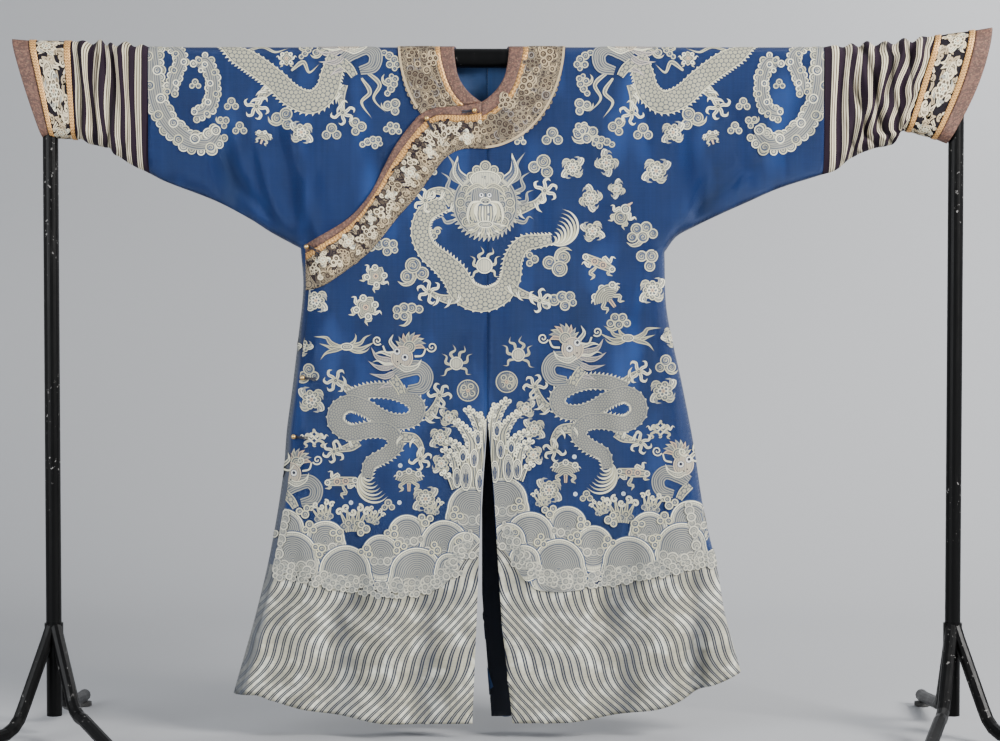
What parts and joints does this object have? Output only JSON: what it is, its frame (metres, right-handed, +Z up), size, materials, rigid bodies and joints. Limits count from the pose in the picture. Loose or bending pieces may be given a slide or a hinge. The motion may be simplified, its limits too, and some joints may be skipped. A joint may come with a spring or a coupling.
{
  "type": "chinese dragon robe on a crossbar stand",
  "caption": "Long lined silk robe with a side lap, round collar and horse-hoof cuffs, hung by its sleeves on a bar between tripod stands.",
  "frame": {"origin": "on the floor, midway between the feet of the two stands", "axes": "+Z up, +X along the bar towards the wearer's left, the robe's front faces -Y"},
  "size_m": [2.2618, 0.674, 1.473],
  "materials": {
    "blue_silk": "woven silk damask with embroidery in cream and gold, soft sheen",
    "brocade": "dense cream embroidery over a near-black ground",
    "rose_border": "rose-brown brocade",
    "gold_braid": "gold braid, slightly shiny",
    "striped_silk": "cream and plum striped silk, gathered",
    "navy_facing": "plain dark facing",
    "navy_cord": "corded silk",
    "gilt": "worn gilt metal",
    "black_steel": "black enamel, scuffed",
    "black_rubber": "matt black"
  },
  "bodies": {
    "root": {"bar": "black_steel", "body_left": "blue_silk", "body_right": "blue_silk", "button_chest": "gilt", "button_neck": "gilt", "button_side_lower": "gilt", "button_side_upper": "gilt", "button_underarm": "gilt", "collar_left": "brocade", "collar_right": "brocade", "cuff_border_left": "rose_border", "cuff_border_right": "rose_border", "cuff_braid_inner_left": "gold_braid", "cuff_braid_inner_right": "gold_braid", "cuff_braid_outer_left": "gold_braid", "cuff_braid_outer_right": "gold_braid", "cuff_left": "brocade", "cuff_right": "brocade", "foot_left_0": "black_rubber", "foot_left_1": "black_rubber", "foot_left_2": "black_rubber", "foot_right_0": "black_rubber", "foot_right_1": "black_rubber", "foot_right_2": "black_rubber", "front_band": "brocade", "hub_left": "black_steel", "hub_right": "black_steel", "lap_border": "rose_border", "lap_braid": "gold_braid", "leg_left_0": "black_steel", "leg_left_1": "black_steel", "leg_left_2": "black_steel", "leg_right_0": "black_steel", "leg_right_1": "black_steel", "leg_right_2": "black_steel", "loop_chest": "navy_cord", "loop_neck": "navy_cord", "loop_side_lower": "navy_cord", "loop_side_upper": "navy_cord", "loop_underarm": "navy_cord", "neck_border_left": "rose_border", "neck_border_right": "rose_border", "neck_braid_left": "gold_braid", "neck_braid_right": "gold_braid", "overlap": "blue_silk", "post_left": "black_steel", "post_right": "black_steel", "slit_facing": "navy_facing", "stripes_left": "striped_silk", "stripes_right": "striped_silk"}
  },
  "joints": []
}
